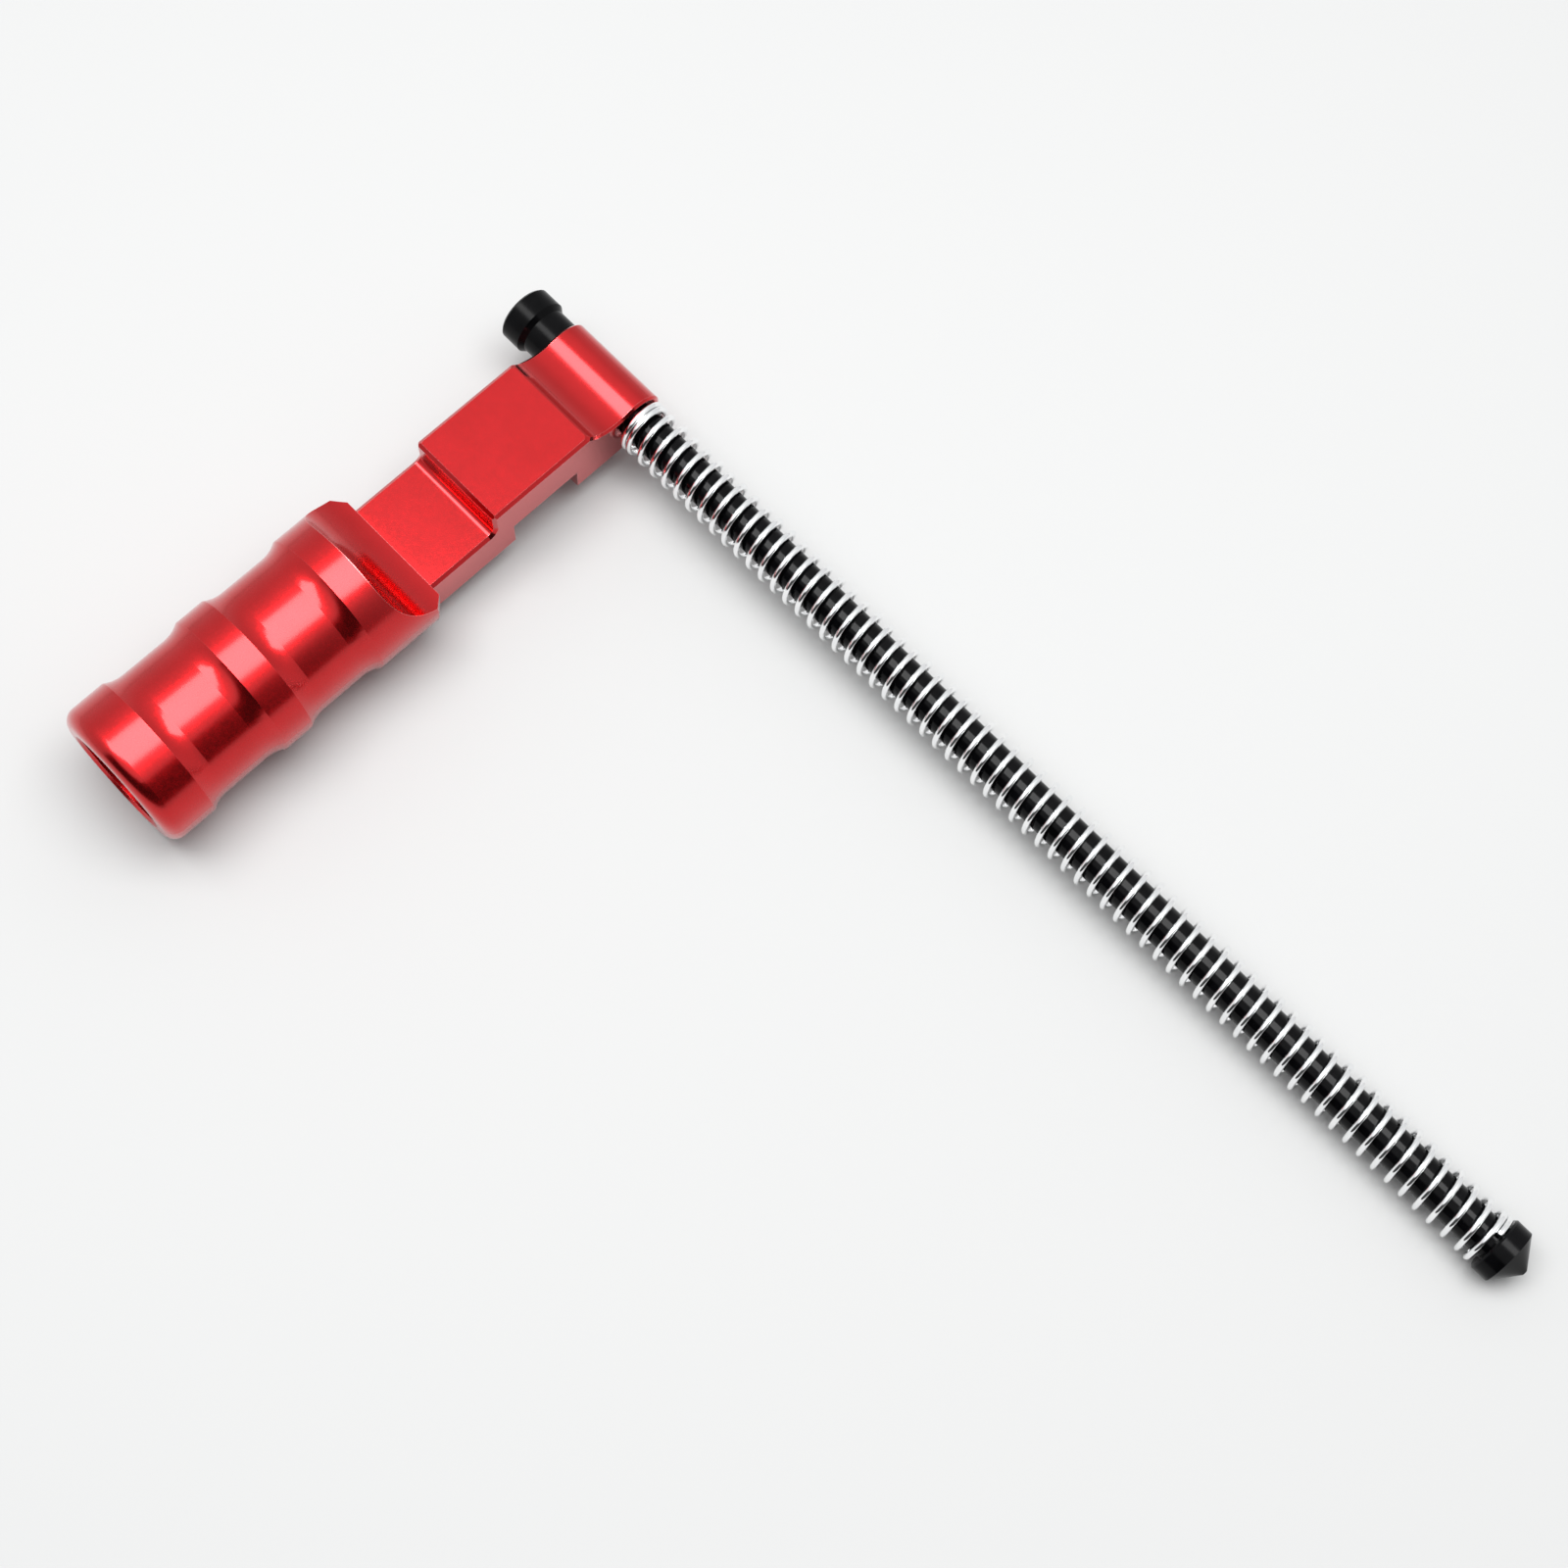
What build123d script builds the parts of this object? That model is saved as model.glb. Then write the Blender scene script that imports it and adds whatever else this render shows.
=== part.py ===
"""Side handle with a captured guide rod and recoil spring.

A turned and milled aluminium handle carries a steel guide rod in the bore of its hub.
A compression spring sits on the rod between the hub and a screwed-on conical tip.

Frame, in millimetres: the origin is the centre of the rod head's outer face, +X runs
along the rod towards the tip, the handle reaches towards -Y, and +Z is the handle's top.
"""
from build123d import *

import os
from math import atan2, cos, degrees, hypot, pi, radians, sin, sqrt, tan

# Guide rod, its head and its tip, all on the X axis
ROD_D = 3.94
HEAD_FLANGE_D = 6.2
HEAD_FLANGE_LENGTH = 2.45
HEAD_FLANGE_EDGE = 0.25
HEAD_CONE_LENGTH = 0.55
HEAD_SHANK_D = 5.3
HEAD_LENGTH = 5.5
TIP_D = 6.1
TIP_X = 131.25
TIP_FLANGE_LENGTH = 1.85
TIP_CONE_LENGTH = 2.0
TIP_POINT_D = 0.6
TIP_EDGE = 0.2
SOCKET_D = 3.0
SOCKET_DEPTH = 2.6
HEAD_SOCKET_DEPTH = 4.0
THREAD_CLEARANCE = 0.01

# Spring: closed coils at both ends and an even pitch between them
SPRING_OD = 5.95
WIRE_D = 0.63
ACTIVE_TURNS = 64
HUB_END_TURNS = 2.0
TIP_END_TURNS = 1.5
CLOSED_PITCH = 0.66
RAMP_TURNS = 0.5
POINTS_PER_TURN = 12
SPRING_END_GAP = 0.02

# Handle: hub, block and neck share the same two side planes
HUB_WIDTH = 11.4
HUB_R = 3.15
HUB_BORE_D = 4.0
HUB_RUNNING_GAP = 0.02
HUB_EDGE = 0.25
BLOCK_TOP_Z = 4.8
BLOCK_FRONT_Y = -6.3
BLOCK_BACK_Y = -19.0
BLOCK_FILLET_R = 5.0
BLOCK_EDGE = 0.35
BLOCK_FRONT_EDGE = 0.12
NECK_TOP_Z = 1.7
NECK_FILLET_R = 0.8
NECK_EDGE = 0.35
NECK_OVERLAP = 1.0
RECESS_FRONT_Y = -8.3
RECESS_BACK_Y = -16.8
RECESS_TOP_Z = 0.0

# Grip: a round bar with two shallow grooves and a lightening bore in its end
GRIP_D = 15.88
GRIP_Z = 1.35
GRIP_START_Y = -27.4
GRIP_END_Y = -62.2
SHOULDER_EDGE = 1.2
GROOVE_STARTS_Y = (-35.9, -48.1)
GROOVE_WIDTH = 9.0
GROOVE_DEPTH = 0.58
GROOVE_END_LENGTH = 2.0
END_ROUND_R = 1.5
END_BORE_D = 10.9
END_BORE_DEPTH = 12.0
END_BORE_EDGE = 0.3
DRILL_POINT_ANGLE = 118
SCOOP_START_Y = -26.1
SCOOP_R = 6.7
SCOOP_OVERRUN = 1.5

# Values that follow from the driving dimensions
HUB_X0 = HEAD_LENGTH + HUB_RUNNING_GAP
HUB_X1 = HUB_X0 + HUB_WIDTH
HUB_MID_X = (HUB_X0 + HUB_X1) / 2
GRIP_R = GRIP_D / 2
COIL_R = (SPRING_OD - WIRE_D) / 2
MATCH = 0.01


def along_x(solid):
    """Turn a solid made along Z so that it lies along X."""
    return Rot(0, 90, 0) * solid


def turned(points):
    """Revolve a closed outline of (radius, height) points about Z."""
    outline = Polyline(*[(r, 0, z) for r, z in points], close=True)
    return revolve(make_face(outline), Axis.Z)


def front_fillet():
    """The block's front edge, the middle of the fillet, and where it meets the hub's round, in (y, z).

    The fillet starts at the block's front edge and runs out tangent to the hub's round.
    """
    edge = (BLOCK_FRONT_Y, BLOCK_TOP_Z)
    edge_distance = hypot(*edge)
    centre_distance = HUB_R + BLOCK_FILLET_R
    along = (centre_distance**2 - BLOCK_FILLET_R**2 + edge_distance**2) / (2 * edge_distance)
    across = sqrt(centre_distance**2 - along**2)
    towards_edge = (edge[0] / edge_distance, edge[1] / edge_distance)
    centre = (towards_edge[0] * along + towards_edge[1] * across,
              towards_edge[1] * along - towards_edge[0] * across)
    meeting = (centre[0] * HUB_R / centre_distance, centre[1] * HUB_R / centre_distance)
    half_way = ((edge[0] + meeting[0]) / 2 - centre[0], (edge[1] + meeting[1]) / 2 - centre[1])
    reach = BLOCK_FILLET_R / hypot(*half_way)
    middle = (centre[0] + half_way[0] * reach, centre[1] + half_way[1] * reach)
    return edge, middle, meeting


def bar_outline():
    """Side outline of hub, block and neck in (y, z), as one closed wire."""
    inside_grip_y = GRIP_START_Y - NECK_OVERLAP
    edge, middle, meeting = front_fillet()
    return [
        ThreePointArc(edge, middle, meeting),
        ThreePointArc(meeting, (HUB_R, 0), (0, -HUB_R)),
        Polyline(
            (0, -HUB_R),
            (RECESS_FRONT_Y, -HUB_R),
            (RECESS_FRONT_Y, RECESS_TOP_Z),
            (RECESS_BACK_Y, RECESS_TOP_Z),
            (RECESS_BACK_Y, -HUB_R),
            (inside_grip_y, -HUB_R),
            (inside_grip_y, NECK_TOP_Z),
            (BLOCK_BACK_Y, NECK_TOP_Z),
            (BLOCK_BACK_Y, BLOCK_TOP_Z),
            edge,
        ),
    ]


def top_face(body, height):
    """The flat upward face at a given height."""
    return [f for f in body.faces().filter_by(Axis.Z) if abs(f.center().Z - height) < MATCH][0]


def bar():
    """Hub, block and neck, cut from one flat bar, with its outer edges broken."""
    side = make_face(bar_outline())
    side_plane = Plane(origin=(HUB_X0, 0, 0), x_dir=(0, 1, 0), z_dir=(1, 0, 0))
    body = extrude(side_plane * side, HUB_WIDTH)
    inner = [e for e in body.edges().filter_by(Axis.X)
             if abs(e.center().Y - BLOCK_BACK_Y) < MATCH and abs(e.center().Z - NECK_TOP_Z) < MATCH]
    body = fillet(inner, NECK_FILLET_R)
    round_edges = [e for e in body.edges().filter_by(GeomType.CIRCLE) if e.center().Y > BLOCK_FRONT_Y]
    body = chamfer(round_edges, HUB_EDGE)
    block_edges = top_face(body, BLOCK_TOP_Z).edges()
    front = block_edges.sort_by(Axis.Y)[-1]
    body = chamfer([e for e in block_edges if e.center().Y < front.center().Y - MATCH], BLOCK_EDGE)
    front = top_face(body, BLOCK_TOP_Z).edges().sort_by(Axis.Y)[-1]
    body = chamfer(front, BLOCK_FRONT_EDGE)
    neck_edges = top_face(body, NECK_TOP_Z).edges().filter_by(Axis.Y)
    return chamfer(neck_edges, NECK_EDGE)


def groove_edges(start, radius):
    """One groove from a land's edge at start to the next land: arc, floor, arc, in (radius, length)."""
    floor = radius - GROOVE_DEPTH
    arc_r = (GROOVE_END_LENGTH**2 + GROOVE_DEPTH**2) / (2 * GROOVE_DEPTH)
    floor_start = start + GROOVE_END_LENGTH
    floor_end = start + GROOVE_WIDTH - GROOVE_END_LENGTH
    return [
        RadiusArc((radius, start), (floor, floor_start), arc_r),
        Line((floor, floor_start), (floor, floor_end)),
        RadiusArc((floor, floor_end), (radius, start + GROOVE_WIDTH), arc_r),
    ]


def grip():
    """Round grip, turned about its own axis, with its end bore."""
    length = GRIP_START_Y - GRIP_END_Y
    starts = [GRIP_START_Y - y for y in GROOVE_STARTS_Y]
    edges = [
        Line((0, 0), (GRIP_R - SHOULDER_EDGE, 0)),
        Line((GRIP_R - SHOULDER_EDGE, 0), (GRIP_R, SHOULDER_EDGE)),
    ]
    at = SHOULDER_EDGE
    for start in starts:
        edges.append(Line((GRIP_R, at), (GRIP_R, start)))
        edges.extend(groove_edges(start, GRIP_R))
        at = start + GROOVE_WIDTH
    edges += [
        Line((GRIP_R, at), (GRIP_R, length - END_ROUND_R)),
        RadiusArc((GRIP_R, length - END_ROUND_R), (GRIP_R - END_ROUND_R, length), -END_ROUND_R),
        Line((GRIP_R - END_ROUND_R, length), (0, length)),
        Line((0, length), (0, 0)),
    ]
    body = revolve(Plane.XZ * make_face(edges), Axis.Z)
    bore_r = END_BORE_D / 2
    drill_tip = bore_r / tan(radians(DRILL_POINT_ANGLE / 2))
    bottom = length - END_BORE_DEPTH
    mouth_r = bore_r + END_BORE_EDGE
    outside = length + END_BORE_EDGE
    bore = turned([(0, bottom - drill_tip), (bore_r, bottom), (bore_r, length - END_BORE_EDGE),
                   (mouth_r, length), (mouth_r, outside), (0, outside)])
    return Pos(HUB_MID_X, GRIP_START_Y, GRIP_Z) * (Rot(90, 0, 0) * (body - bore))


def scoop():
    """Space above the neck: flat over the neck, then a quarter-round rise into the grip."""
    clear_z = GRIP_Z + GRIP_R + SCOOP_OVERRUN
    back_y = SCOOP_START_Y - SCOOP_R
    front_y = GRIP_START_Y + SCOOP_OVERRUN
    lift = NECK_TOP_Z + SCOOP_R
    outline = [
        RadiusArc((back_y, lift), (SCOOP_START_Y, NECK_TOP_Z), -SCOOP_R),
        Polyline((SCOOP_START_Y, NECK_TOP_Z), (front_y, NECK_TOP_Z), (front_y, clear_z),
                 (back_y, clear_z), (back_y, lift)),
    ]
    plane = Plane(origin=(HUB_MID_X - GRIP_D, 0, 0), x_dir=(0, 1, 0), z_dir=(1, 0, 0))
    return extrude(plane * make_face(outline), 2 * GRIP_D)


def handle():
    """One-piece handle."""
    body = bar() + (grip() - scoop())
    bore = along_x(Pos(0, 0, HUB_MID_X) * Cylinder(HUB_BORE_D / 2, HUB_WIDTH * 2))
    return body - bore


def guide_rod():
    """Plain round rod with a reduced spigot at each end, for the head and for the tip."""
    start = HEAD_LENGTH - HEAD_SOCKET_DEPTH
    end = TIP_X + SOCKET_DEPTH
    spigot_r = SOCKET_D / 2 - THREAD_CLEARANCE
    rod_r = ROD_D / 2
    return along_x(turned([(0, start), (spigot_r, start), (spigot_r, HEAD_LENGTH), (rod_r, HEAD_LENGTH),
                           (rod_r, TIP_X), (spigot_r, TIP_X), (spigot_r, end), (0, end)]))


def rod_head():
    """Flanged head with a thicker shank, bored for the rod's spigot."""
    flange_r = HEAD_FLANGE_D / 2
    shank_r = HEAD_SHANK_D / 2
    socket_r = SOCKET_D / 2
    socket_end = HEAD_LENGTH - HEAD_SOCKET_DEPTH
    return along_x(turned([
        (0, 0),
        (flange_r - HEAD_FLANGE_EDGE, 0),
        (flange_r, HEAD_FLANGE_EDGE),
        (flange_r, HEAD_FLANGE_LENGTH),
        (shank_r, HEAD_FLANGE_LENGTH + HEAD_CONE_LENGTH),
        (shank_r, HEAD_LENGTH),
        (socket_r, HEAD_LENGTH),
        (socket_r, socket_end),
        (0, socket_end),
    ]))


def tip_cap():
    """Conical tip that holds the spring on the rod."""
    tip_r = TIP_D / 2
    socket_r = SOCKET_D / 2
    cone_start = TIP_X + TIP_FLANGE_LENGTH
    return along_x(turned([
        (socket_r, TIP_X),
        (tip_r - TIP_EDGE, TIP_X),
        (tip_r, TIP_X + TIP_EDGE),
        (tip_r, cone_start),
        (TIP_POINT_D / 2, cone_start + TIP_CONE_LENGTH),
        (0, cone_start + TIP_CONE_LENGTH),
        (0, TIP_X + SOCKET_DEPTH),
        (socket_r, TIP_X + SOCKET_DEPTH),
    ]))


def end_rise(turn, turns, pitch):
    """Height of an end coil after a number of turns: closed, then ramping up to the full pitch."""
    ramp = max(0.0, turn - (turns - RAMP_TURNS))
    return CLOSED_PITCH * turn + (pitch - CLOSED_PITCH) * ramp**2 / (2 * RAMP_TURNS)


def end_coil(turns, pitch):
    """Centre line of the closed coils at one end, rising from Z = 0."""
    points = []
    for step in range(int(turns * POINTS_PER_TURN) + 1):
        turn = step / POINTS_PER_TURN
        angle = 2 * pi * turn
        points.append((COIL_R * cos(angle), COIL_R * sin(angle), end_rise(turn, turns, pitch)))
    first = (0, 2 * pi * COIL_R, CLOSED_PITCH)
    last_angle = 2 * pi * turns
    last = (-2 * pi * COIL_R * sin(last_angle), 2 * pi * COIL_R * cos(last_angle), pitch)
    return Spline(*points, tangents=[first, last], tangent_scalars=[1.0, 1.0])


def spring():
    """Compression spring between the hub and the tip."""
    length = TIP_X - HUB_X1 - WIRE_D - 2 * SPRING_END_GAP
    closed = HUB_END_TURNS + TIP_END_TURNS
    pitch = (length - CLOSED_PITCH * (closed - RAMP_TURNS)) / (ACTIVE_TURNS + RAMP_TURNS)
    hub_end = end_coil(HUB_END_TURNS, pitch)
    hub_rise = end_rise(HUB_END_TURNS, HUB_END_TURNS, pitch)
    middle = Rot(0, 0, 360 * HUB_END_TURNS) * Helix(pitch, pitch * ACTIVE_TURNS, COIL_R)
    middle = Pos(0, 0, hub_rise) * middle
    turned_over = Rot(180, 0, 0) * end_coil(TIP_END_TURNS, pitch)
    meeting = turned_over @ 1
    middle_end_angle = 360 * (HUB_END_TURNS + ACTIVE_TURNS)
    tip_end = Rot(0, 0, middle_end_angle - degrees(atan2(meeting.Y, meeting.X))) * turned_over
    tip_end = Pos(0, 0, length) * tip_end
    path = Wire.combine([hub_end, middle, tip_end])[0]
    section = Plane(origin=hub_end @ 0, z_dir=hub_end % 0) * Circle(WIRE_D / 2)
    coil = sweep(section.faces()[0], path=path, is_frenet=True)
    return along_x(Pos(0, 0, HUB_X1 + SPRING_END_GAP + WIRE_D / 2) * coil)


def main():
    """Write one STEP file for each piece."""
    pieces = {
        "handle": handle,
        "guide_rod": guide_rod,
        "rod_head": rod_head,
        "spring": spring,
        "tip_cap": tip_cap,
    }
    os.makedirs("parts", exist_ok=True)
    for name, make in pieces.items():
        export_step(make(), f"parts/{name}.step")


main()
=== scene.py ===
import math

import bpy
from mathutils import Matrix, Vector


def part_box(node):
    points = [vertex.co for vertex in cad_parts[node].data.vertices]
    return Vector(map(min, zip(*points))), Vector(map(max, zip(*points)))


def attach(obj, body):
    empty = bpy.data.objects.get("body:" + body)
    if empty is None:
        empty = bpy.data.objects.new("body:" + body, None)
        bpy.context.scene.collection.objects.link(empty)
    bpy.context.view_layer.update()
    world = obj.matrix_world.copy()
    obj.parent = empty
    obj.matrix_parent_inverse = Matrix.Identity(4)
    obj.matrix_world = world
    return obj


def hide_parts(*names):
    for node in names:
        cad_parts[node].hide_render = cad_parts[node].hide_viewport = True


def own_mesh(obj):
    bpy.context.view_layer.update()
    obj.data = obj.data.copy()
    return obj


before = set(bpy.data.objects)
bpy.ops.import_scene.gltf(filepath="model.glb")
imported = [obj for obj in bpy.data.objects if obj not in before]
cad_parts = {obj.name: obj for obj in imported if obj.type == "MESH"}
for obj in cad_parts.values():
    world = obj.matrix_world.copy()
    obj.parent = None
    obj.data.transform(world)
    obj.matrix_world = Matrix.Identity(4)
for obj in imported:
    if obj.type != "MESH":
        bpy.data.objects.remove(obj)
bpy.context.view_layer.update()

# Camera: where it looks from, in degrees, and how far from what it looks at, in metres
CAMERA_AZIMUTH = 38.5
CAMERA_ELEVATION = 71.6
CAMERA_ROLL = 7.5
CAMERA_DISTANCE = 0.2431
CAMERA_LENS = 58.0
CAMERA_SENSOR = 36.0
CAMERA_CLIP_START = 0.01
CAMERA_AIM = (0.0546, -0.0162, 0.0)

# Studio, in metres and degrees: a panel overhead, pale walls and ceiling, and a dim side
PANEL_PLACE = (0.0, 0.0, 0.45)
PANEL_TURN = 38.5
PANEL_SIZE = (0.54, 0.235)
PANEL_POWER = 3.35
WALL_BRIGHTNESS = 0.8
CEILING_BRIGHTNESS = 1.12
CEILING_FROM = 0.4
CEILING_TO = 0.95
DIM_BRIGHTNESS = 0.07
DIM_AZIMUTH = -50
DIM_HALF_WIDTH = 57
DIM_SOFT_EDGE = 7
DIM_TOP = 0.62
DIM_TOP_FADE = 0.16
SKY_COLOUR = (0.985, 0.99, 1.0)
TABLE_SIZE = 6.0

MM = 1e-3
MICRON = 1e-6
# Pale colour painted along sharp edges: partly a painted edge highlight, partly anodising worn thin there
EDGE_HIGHLIGHT_AND_WEAR_WIDTH = 0.12 * MM
EDGE_HIGHLIGHT_AND_WEAR_COLOUR = (0.86, 0.30, 0.30)
MILLED_FROM_Y = -28.5 * MM
MILLED_FULLY_Y = -26.5 * MM

# Spring: closed coils at both ends and an even pitch between them
ACTIVE_TURNS = 64
HUB_END_TURNS = 2.0
TIP_END_TURNS = 1.5
RAMP_TURNS = 0.5
CLOSED_PITCH = 0.66 * MM
WIRE_R = 0.315 * MM
WIRE_END_BREAK = 0.05 * MM
STEPS_PER_TURN = 32
WIRE_SIDES = 12

handle_low, handle_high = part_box("handle")
tip_low, tip_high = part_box("tip_cap")
spring_low, spring_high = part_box("spring")


class Nodes:
    """Short calls for building one material's node tree."""

    def __init__(self, name):
        self.material = bpy.data.materials.new(name)
        self.material.use_nodes = True
        self.tree = self.material.node_tree
        self.shader = self.tree.nodes["Principled BSDF"]
        self.place = self.add("ShaderNodeTexCoord").outputs["Object"]

    def add(self, kind, **settings):
        node = self.tree.nodes.new(kind)
        for key, value in settings.items():
            setattr(node, key, value)
        return node

    def link(self, source, target):
        self.tree.links.new(source, target)

    def scaled_place(self, scale):
        mapping = self.add("ShaderNodeMapping")
        mapping.inputs["Scale"].default_value = scale
        self.link(self.place, mapping.inputs["Vector"])
        return mapping.outputs["Vector"]

    def noise(self, scale, detail=4.0, roughness=0.5, stretch=(1, 1, 1)):
        node = self.add("ShaderNodeTexNoise")
        node.inputs["Scale"].default_value = scale
        node.inputs["Detail"].default_value = detail
        node.inputs["Roughness"].default_value = roughness
        self.link(self.scaled_place(stretch), node.inputs["Vector"])
        return node.outputs["Fac"]

    def remap(self, source, low, high, from_low=0.3, from_high=0.7):
        node = self.add("ShaderNodeMapRange")
        node.inputs["From Min"].default_value = from_low
        node.inputs["From Max"].default_value = from_high
        node.inputs["To Min"].default_value = low
        node.inputs["To Max"].default_value = high
        self.link(source, node.inputs["Value"])
        return node.outputs["Result"]

    def ramp(self, source, low_colour, high_colour, low_at=0.3, high_at=0.7):
        node = self.add("ShaderNodeValToRGB")
        node.color_ramp.elements[0].position = low_at
        node.color_ramp.elements[0].color = (*low_colour, 1)
        node.color_ramp.elements[1].position = high_at
        node.color_ramp.elements[1].color = (*high_colour, 1)
        self.link(source, node.inputs["Fac"])
        return node.outputs["Color"]

    def edges(self, width):
        """1 along sharp edges and 0 on flats, from how much a rounded edge would turn the surface."""
        rounded = self.add("ShaderNodeBevel", samples=6)
        rounded.inputs["Radius"].default_value = width
        geometry = self.add("ShaderNodeNewGeometry")
        alike = self.add("ShaderNodeVectorMath", operation="DOT_PRODUCT")
        self.link(rounded.outputs["Normal"], alike.inputs[0])
        self.link(geometry.outputs["Normal"], alike.inputs[1])
        return self.remap(alike.outputs["Value"], 1.0, 0.0, from_low=0.86, from_high=0.95)

    def beyond_y(self, start, end):
        """0 before start and 1 after end, along Y."""
        parts = self.add("ShaderNodeSeparateXYZ")
        self.link(self.place, parts.inputs["Vector"])
        return self.remap(parts.outputs["Y"], 0.0, 1.0, from_low=start, from_high=end)

    def mix_values(self, share, first, second):
        node = self.add("ShaderNodeMix", data_type="FLOAT")
        self.link(share, node.inputs[0])
        self.link(first, node.inputs[2])
        self.link(second, node.inputs[3])
        return node.outputs[0]

    def mix(self, share, first, second_colour):
        node = self.add("ShaderNodeMix", data_type="RGBA")
        node.inputs[7].default_value = (*second_colour, 1)
        self.link(share, node.inputs[0])
        self.link(first, node.inputs[6])
        return node.outputs[2]

    def bump(self, height, distance, strength=1.0, under=None):
        node = self.add("ShaderNodeBump")
        node.inputs["Distance"].default_value = distance
        node.inputs["Strength"].default_value = strength
        self.link(height, node.inputs["Height"])
        if under is not None:
            self.link(under, node.inputs["Normal"])
        return node.outputs["Normal"]


def anodised_aluminium():
    """Red dyed anodising, paler on the sharp edges where a painted edge highlight and worn-thin anodising are
    laid on, over a turned grip and a finer milled bar.
    """
    m = Nodes("anodised_red")
    s = m.shader
    s.inputs["Metallic"].default_value = 1.0
    s.inputs["Coat Weight"].default_value = 0.64
    s.inputs["Coat Roughness"].default_value = 0.15
    s.inputs["Coat IOR"].default_value = 1.5
    cloud = m.noise(220, detail=6, roughness=0.6)
    red = m.ramp(cloud, (0.52, 0.002, 0.004), (0.58, 0.004, 0.007))
    # Paler colour on sharp edges: a painted edge highlight together with worn-thin anodising
    m.link(m.mix(m.edges(EDGE_HIGHLIGHT_AND_WEAR_WIDTH), red, EDGE_HIGHLIGHT_AND_WEAR_COLOUR), s.inputs["Base Color"])
    grain = m.noise(2600, detail=5, roughness=0.7)
    turned = m.remap(grain, 0.20, 0.30)
    milled = m.remap(grain, 0.12, 0.18)
    m.link(m.mix_values(m.beyond_y(MILLED_FROM_Y, MILLED_FULLY_Y), turned, milled), s.inputs["Roughness"])
    tool_marks = m.noise(900, detail=2, stretch=(0.03, 1, 0.03))
    fine = m.bump(tool_marks, 1.5 * MICRON, 0.5)
    m.link(m.bump(grain, 0.4 * MICRON, 0.8, under=fine), s.inputs["Normal"])
    return m.material


def black_steel(name, colour, gloss, roughness, grain_depth):
    """Black oxide steel with fine turning lines round the rod's axis."""
    m = Nodes(name)
    s = m.shader
    s.inputs["Specular IOR Level"].default_value = gloss
    cloud = m.noise(500, detail=5)
    brighter = tuple(min(1.0, c * 1.8 + 0.001) for c in colour)
    m.link(m.ramp(cloud, colour, brighter), s.inputs["Base Color"])
    grain = m.noise(3200, detail=5, roughness=0.7)
    m.link(m.remap(grain, roughness * 0.8, roughness * 1.25), s.inputs["Roughness"])
    lines = m.noise(5200, detail=2, stretch=(1, 0.02, 0.02))
    m.link(m.bump(lines, grain_depth, 0.6), s.inputs["Normal"])
    return m.material


def spring_wire():
    """Bright plated spring wire with a faint fine grain."""
    m = Nodes("bright_wire")
    s = m.shader
    s.inputs["Metallic"].default_value = 1.0
    cloud = m.noise(700, detail=5)
    m.link(m.ramp(cloud, (0.86, 0.87, 0.88), (0.95, 0.95, 0.95)), s.inputs["Base Color"])
    grain = m.noise(4000, detail=4, roughness=0.7)
    m.link(m.remap(grain, 0.05, 0.11), s.inputs["Roughness"])
    m.link(m.bump(grain, 0.4 * MICRON, 0.5), s.inputs["Normal"])
    return m.material


def table_top():
    """Plain pale table."""
    m = Nodes("table_pale")
    s = m.shader
    cloud = m.noise(3, detail=2)
    m.link(m.ramp(cloud, (0.438, 0.440, 0.438), (0.446, 0.448, 0.446)), s.inputs["Base Color"])
    s.inputs["Roughness"].default_value = 0.9
    s.inputs["Specular IOR Level"].default_value = 0.0
    return m.material


def assign(node, material):
    """Give one CAD node its material."""
    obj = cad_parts[node]
    obj.data.materials.clear()
    obj.data.materials.append(material)


def rise(turn, turns, pitch):
    """Height of an end coil after a number of turns: closed, then ramping up to the full pitch."""
    ramp = max(0.0, turn - (turns - RAMP_TURNS))
    return CLOSED_PITCH * turn + (pitch - CLOSED_PITCH) * ramp**2 / (2 * RAMP_TURNS)


def coil_height(turn, pitch, length):
    """Distance along the spring from its hub end, at a number of turns."""
    if turn <= HUB_END_TURNS:
        return rise(turn, HUB_END_TURNS, pitch)
    if turn <= HUB_END_TURNS + ACTIVE_TURNS:
        return rise(HUB_END_TURNS, HUB_END_TURNS, pitch) + (turn - HUB_END_TURNS) * pitch
    left = HUB_END_TURNS + ACTIVE_TURNS + TIP_END_TURNS - turn
    return length - rise(left, TIP_END_TURNS, pitch)


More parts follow.
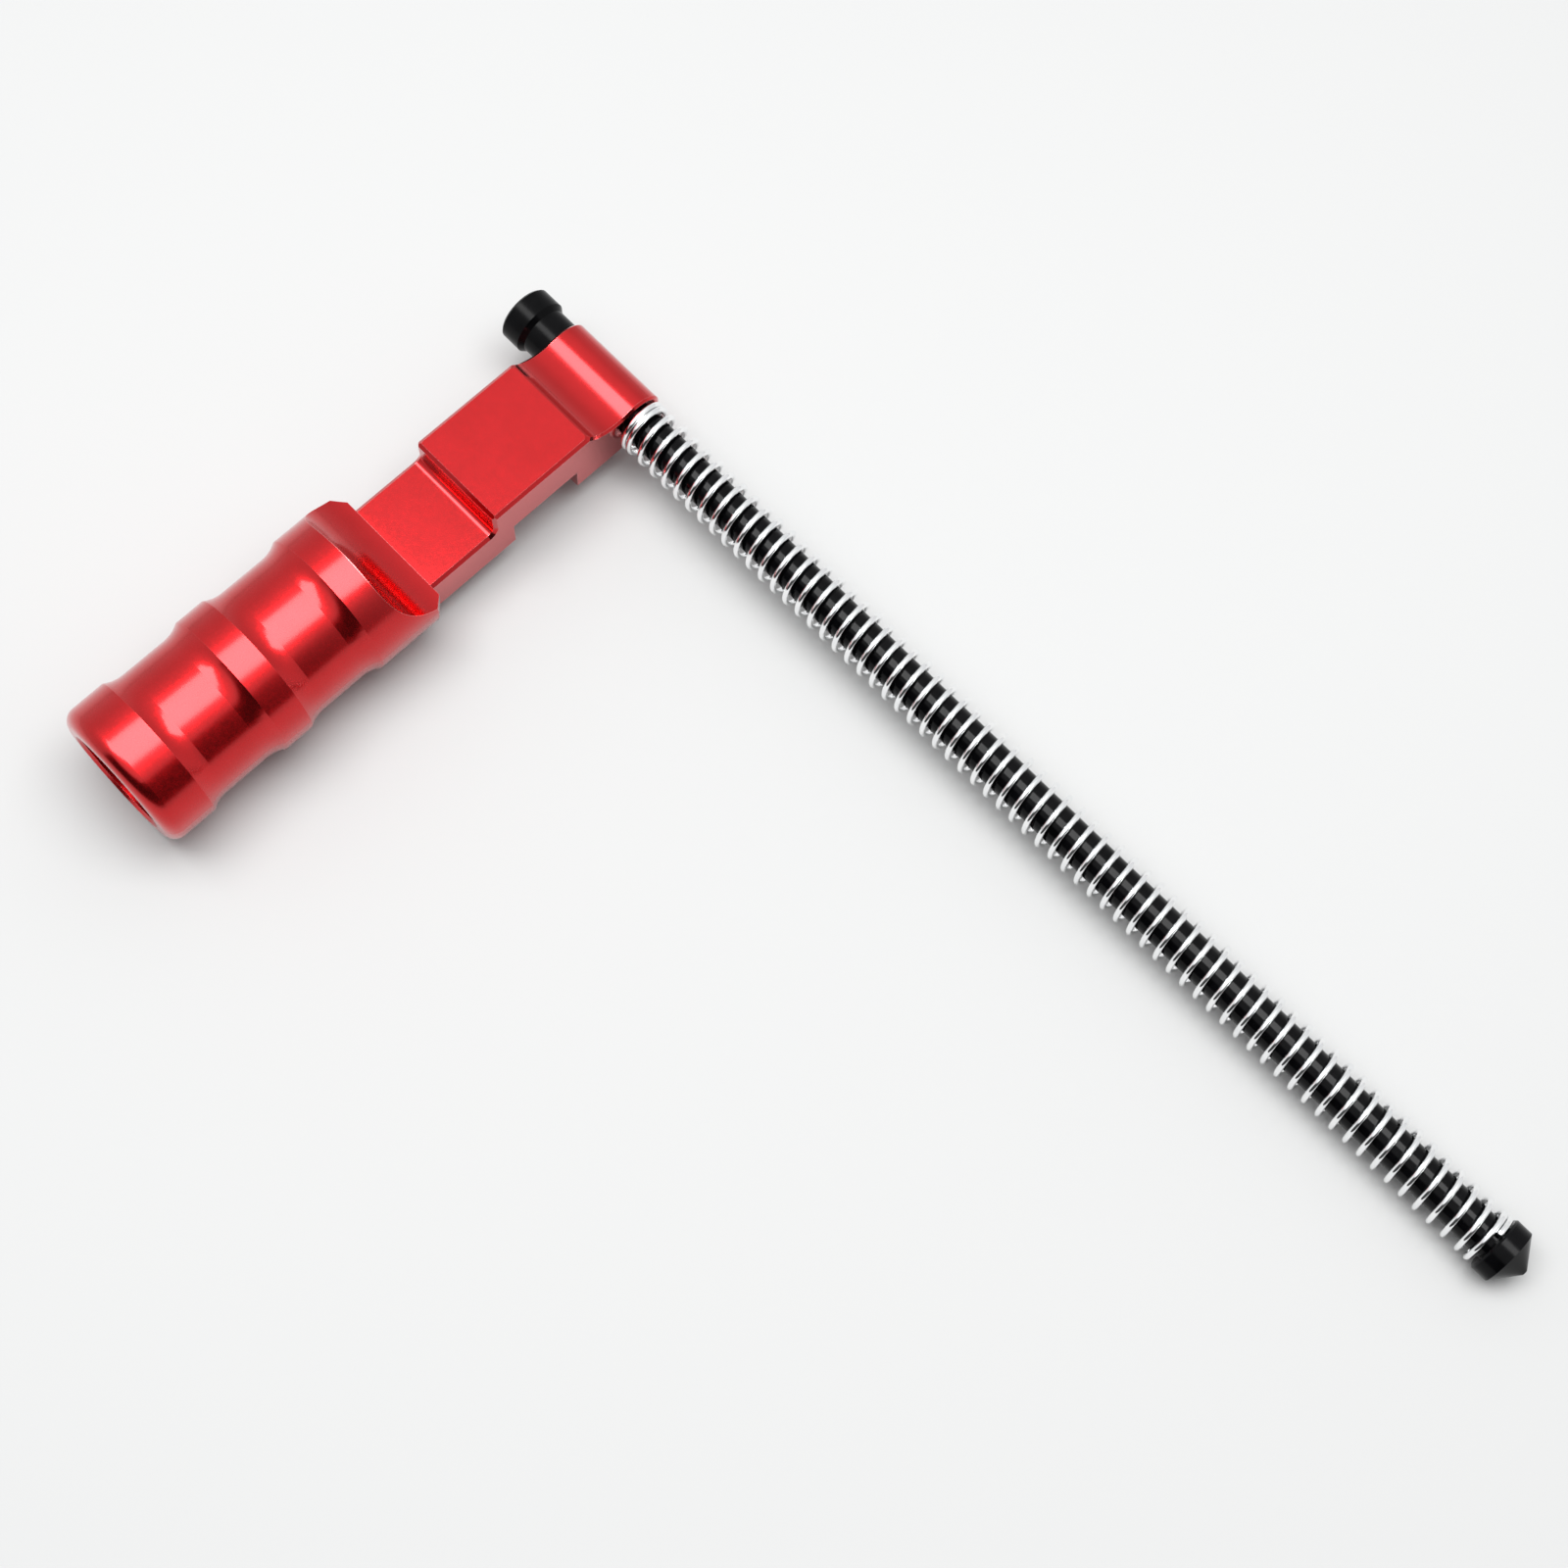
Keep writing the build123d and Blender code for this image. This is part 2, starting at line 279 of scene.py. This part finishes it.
def spring_piece():
    """The spring as one round wire, with square-cut ends."""
    coil_r = (spring_high[2] - spring_low[2]) / 2 - WIRE_R
    length = spring_high[0] - spring_low[0] - 2 * WIRE_R
    turns = HUB_END_TURNS + ACTIVE_TURNS + TIP_END_TURNS
    closed = HUB_END_TURNS + TIP_END_TURNS
    pitch = (length - CLOSED_PITCH * (closed - RAMP_TURNS)) / (ACTIVE_TURNS + RAMP_TURNS)
    start = spring_low[0] + WIRE_R
    last = round(turns * STEPS_PER_TURN)

    def centre(turn):
        angle = 2 * math.pi * turn
        along = start + coil_height(turn, pitch, length)
        return Vector((along, coil_r * math.sin(angle), -coil_r * math.cos(angle)))

    def ring(turn, radius, shift):
        angle = 2 * math.pi * turn
        step = 0.5 / STEPS_PER_TURN
        forward = (centre(min(turns, turn + step)) - centre(max(0.0, turn - step))).normalized()
        outward = Vector((0, math.sin(angle), -math.cos(angle)))
        outward = (outward - forward * outward.dot(forward)).normalized()
        across = forward.cross(outward)
        middle = centre(turn) + forward * shift
        return [middle + (outward * math.cos(a) + across * math.sin(a)) * radius
                for a in (2 * math.pi * side / WIRE_SIDES for side in range(WIRE_SIDES))]

    rings = [ring(0.0, WIRE_R - WIRE_END_BREAK, 0.0), ring(0.0, WIRE_R, WIRE_END_BREAK)]
    rings += [ring(step / STEPS_PER_TURN, WIRE_R, 0.0) for step in range(1, last)]
    rings += [ring(turns, WIRE_R, -WIRE_END_BREAK), ring(turns, WIRE_R - WIRE_END_BREAK, 0.0)]
    points = [point for one in rings for point in one]
    faces = []
    for row in range(len(rings) - 1):
        for side in range(WIRE_SIDES):
            a = row * WIRE_SIDES + side
            b = row * WIRE_SIDES + (side + 1) % WIRE_SIDES
            faces.append((a, b, b + WIRE_SIDES, a + WIRE_SIDES))
    tail = (len(rings) - 1) * WIRE_SIDES
    faces.append(tuple(reversed(range(WIRE_SIDES))))
    faces.append(tuple(range(tail, tail + WIRE_SIDES)))
    mesh = bpy.data.meshes.new("spring_wire")
    mesh.from_pydata(points, [], faces)
    mesh.polygons.foreach_set("use_smooth", [len(face) == 4 for face in faces])
    mesh.update()
    obj = bpy.data.objects.new("spring_wire", mesh)
    bpy.context.scene.collection.objects.link(obj)
    obj.data.materials.append(spring_wire())
    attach(obj, "spring_body")
    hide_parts("spring")
    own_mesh(obj)


def lay_table():
    """A table tilted so that the grip's underside and the tip both rest on it."""
    grip_x = (handle_low[0] + handle_high[0]) / 2
    slope = (tip_low[2] - handle_low[2]) / (tip_low[0] - grip_x)
    half = TABLE_SIZE / 2
    corners = [(x, y, handle_low[2] + slope * (x - grip_x)) for x, y in
               ((-half, -half), (half, -half), (half, half), (-half, half))]
    mesh = bpy.data.meshes.new("table")
    mesh.from_pydata(corners, [], [(0, 1, 2, 3)])
    table = bpy.data.objects.new("table", mesh)
    table.data.materials.append(table_top())
    bpy.context.scene.collection.objects.link(table)


def add_camera():
    """Camera at the photo's angle, turned a little about its own line of sight."""
    a = math.radians(CAMERA_AZIMUTH)
    e = math.radians(CAMERA_ELEVATION)
    forward = Vector((-math.sin(a) * math.cos(e), math.cos(a) * math.cos(e), -math.sin(e)))
    place = Vector(CAMERA_AIM) - forward * CAMERA_DISTANCE
    right = forward.cross(Vector((0, 0, 1))).normalized()
    up = right.cross(forward)
    roll = math.radians(CAMERA_ROLL)
    rolled_right = right * math.cos(roll) + up * math.sin(roll)
    rolled_up = up * math.cos(roll) - right * math.sin(roll)
    data = bpy.data.cameras.new("camera")
    data.lens = CAMERA_LENS
    data.sensor_width = CAMERA_SENSOR
    data.clip_start = CAMERA_CLIP_START
    camera = bpy.data.objects.new("camera", data)
    axes = Matrix((rolled_right, rolled_up, -forward)).transposed()
    camera.matrix_world = Matrix.Translation(place) @ axes.to_4x4()
    bpy.context.scene.collection.objects.link(camera)
    bpy.context.scene.camera = camera


def add_panel():
    """Soft light overhead, facing straight down."""
    data = bpy.data.lights.new("panel", "AREA")
    data.shape = "RECTANGLE"
    data.size = PANEL_SIZE[0]
    data.size_y = PANEL_SIZE[1]
    data.energy = PANEL_POWER
    lamp = bpy.data.objects.new("panel", data)
    lamp.location = PANEL_PLACE
    lamp.rotation_euler = (0, 0, math.radians(PANEL_TURN))
    bpy.context.scene.collection.objects.link(lamp)


class Sky:
    """Short calls for building the world's node tree."""

    def __init__(self):
        self.world = bpy.data.worlds.new("studio")
        self.world.use_nodes = True
        self.tree = self.world.node_tree
        self.background = self.tree.nodes["Background"]

    def fade(self, source, start, end, before, after):
        """Smooth step from one value to another as the source goes from start to end."""
        node = self.tree.nodes.new("ShaderNodeMapRange")
        node.interpolation_type = "SMOOTHSTEP"
        node.inputs["From Min"].default_value = start
        node.inputs["From Max"].default_value = end
        node.inputs["To Min"].default_value = before
        node.inputs["To Max"].default_value = after
        self.tree.links.new(source, node.inputs["Value"])
        return node.outputs["Result"]

    def vector(self, operation, first, second=None):
        node = self.tree.nodes.new("ShaderNodeVectorMath")
        node.operation = operation
        self.tree.links.new(first, node.inputs[0])
        if second is not None:
            node.inputs[1].default_value = second
        return node

    def math(self, operation, first, second):
        node = self.tree.nodes.new("ShaderNodeMath")
        node.operation = operation
        self.tree.links.new(first, node.inputs[0])
        self.tree.links.new(second, node.inputs[1])
        return node.outputs["Value"]


def add_world():
    """Pale walls that brighten to the ceiling, with one dim side below the ceiling."""
    sky = Sky()
    towards = sky.tree.nodes.new("ShaderNodeTexCoord").outputs["Generated"]
    parts = sky.tree.nodes.new("ShaderNodeSeparateXYZ")
    sky.tree.links.new(towards, parts.inputs["Vector"])
    height = parts.outputs["Z"]
    level = sky.vector("NORMALIZE", sky.vector("MULTIPLY", towards, (1, 1, 0)).outputs["Vector"])
    a = math.radians(DIM_AZIMUTH)
    facing = sky.vector("DOT_PRODUCT", level.outputs["Vector"], (math.cos(a), math.sin(a), 0)).outputs["Value"]
    inner = math.cos(math.radians(DIM_HALF_WIDTH))
    outer = math.cos(math.radians(DIM_HALF_WIDTH + DIM_SOFT_EDGE))
    dim_side = sky.fade(facing, outer, inner, 0.0, 1.0)
    below = sky.fade(height, DIM_TOP, DIM_TOP + DIM_TOP_FADE, 1.0, 0.0)
    dim = sky.math("MULTIPLY", dim_side, below)
    share = sky.fade(dim, 0.0, 1.0, 1.0, DIM_BRIGHTNESS)
    walls = sky.fade(height, CEILING_FROM, CEILING_TO, WALL_BRIGHTNESS, CEILING_BRIGHTNESS)
    sky.tree.links.new(sky.math("MULTIPLY", walls, share), sky.background.inputs["Strength"])
    sky.background.inputs["Color"].default_value = (*SKY_COLOUR, 1)
    bpy.context.scene.world = sky.world


add_camera()
add_world()
add_panel()
lay_table()

assign("handle", anodised_aluminium())
assign("guide_rod", black_steel("rod_black", (0.0006, 0.0006, 0.0008), 0.11, 0.10, 0.6 * MICRON))
assign("rod_head", black_steel("head_black", (0.0008, 0.0008, 0.001), 0.08, 0.2, 2.0 * MICRON))
assign("tip_cap", black_steel("tip_black", (0.0008, 0.0008, 0.001), 0.08, 0.16, 2.0 * MICRON))
spring_piece()

bpy.context.scene.view_settings.view_transform = "Standard"
